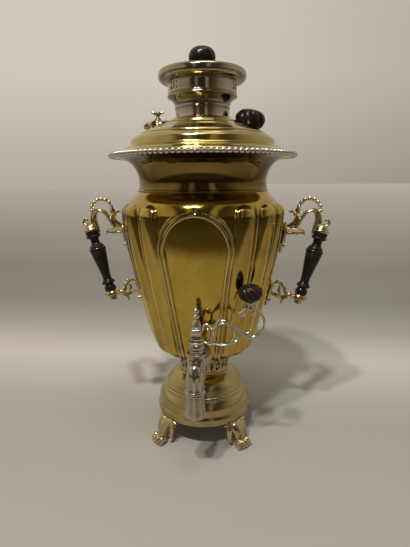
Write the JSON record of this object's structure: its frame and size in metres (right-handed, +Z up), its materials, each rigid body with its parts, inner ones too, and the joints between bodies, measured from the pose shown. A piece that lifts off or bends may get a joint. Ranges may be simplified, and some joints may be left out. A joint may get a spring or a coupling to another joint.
{
  "type": "samovar",
  "caption": "Lobed brass samovar with an arched front panel, a lever tap, wooden-gripped side handles, a stepped lid and a crown that seats a teapot.",
  "frame": {"origin": "on the floor, under the fire pipe's axis", "axes": "+Z up, the tap faces -Y, the handles are along X, and the tap key and lid knob are on the +X side"},
  "size_m": [0.3238, 0.2402, 0.499],
  "materials": {
    "base_brass": "polished",
    "vessel_brass": "polished",
    "panel_brass": "polished",
    "collar_brass": "polished",
    "lid_brass": "polished",
    "crown_metal": "polished",
    "rim_nickel": "worn",
    "cap_brass": "satin",
    "vent_brass": "worn",
    "tap_nickel": "worn",
    "key_nickel": "worn",
    "bracket_brass": "worn",
    "grip_wood": "gloss",
    "knob_wood": "gloss",
    "pipe_iron": "matte",
    "steel_fixings": "satin"
  },
  "bodies": {
    "vessel": {"pedestal": "base_brass", "foot_front_right": "base_brass", "foot_back_right": "base_brass", "foot_back_left": "base_brass", "foot_front_left": "base_brass", "gallery_ring": "base_brass", "foot_screws": "steel_fixings", "foot_nuts": "steel_fixings", "vessel_bottom": "vessel_brass", "fire_pipe": "pipe_iron", "body_shell": "vessel_brass", "panel_frame": "panel_brass", "neck_collar": "collar_brass", "bead_rim": "rim_nickel", "tap_body": "tap_nickel", "tap_rosette": "tap_nickel", "tap_washer": "steel_fixings", "tap_nut": "steel_fixings", "right_top_bracket": "bracket_brass", "right_low_bracket": "bracket_brass", "right_grip": "grip_wood", "right_grip_rod": "steel_fixings", "right_grip_nut": "bracket_brass", "right_rivets": "bracket_brass", "left_top_bracket": "bracket_brass", "left_low_bracket": "bracket_brass", "left_grip": "grip_wood", "left_grip_rod": "steel_fixings", "left_grip_nut": "bracket_brass", "left_rivets": "bracket_brass"},
    "lid": {"lid": "lid_brass", "lid_knob": "knob_wood", "lid_knob_rosette": "vent_brass", "lid_knob_screw": "steel_fixings", "vent_seat": "vent_brass"},
    "steam_valve": {"steam_valve": "vent_brass"},
    "crown": {"crown": "crown_metal"},
    "cap": {"cap": "cap_brass", "cap_knob": "knob_wood", "cap_screw": "steel_fixings"},
    "tap_key": {"tap_plug": "tap_nickel", "tap_key": "key_nickel", "tap_knob": "knob_wood", "key_finial": "key_nickel", "plug_washer": "steel_fixings", "plug_nut": "steel_fixings"},
    "grate": {"grate": "pipe_iron"}
  },
  "joints": [
    {"name": "tap_turn", "type": "hinge", "parent": "vessel", "child": "tap_key", "pos_m": [0, -0.09, 0.13], "axis": [0, 0, 1], "range_deg": [-180, 0]},
    {"name": "steam_valve_turn", "type": "hinge", "parent": "lid", "child": "steam_valve", "pos_m": [-0.056, 0, 0.415], "axis": [0, 0, 1], "range_deg": [0, 90]},
    {"name": "lid_lift", "type": "slide", "parent": "vessel", "child": "lid", "axis": [0, 0, 1], "range_m": [0, 0.15]},
    {"name": "crown_lift", "type": "slide", "parent": "lid", "child": "crown", "axis": [0, 0, 1], "range_m": [0, 0.15]},
    {"name": "cap_lift", "type": "slide", "parent": "crown", "child": "cap", "axis": [0, 0, 1], "range_m": [0, 0.1]},
    {"name": "grate_lift", "type": "slide", "parent": "vessel", "child": "grate", "axis": [0, 0, 1], "range_m": [0, 0.2]}
  ]
}
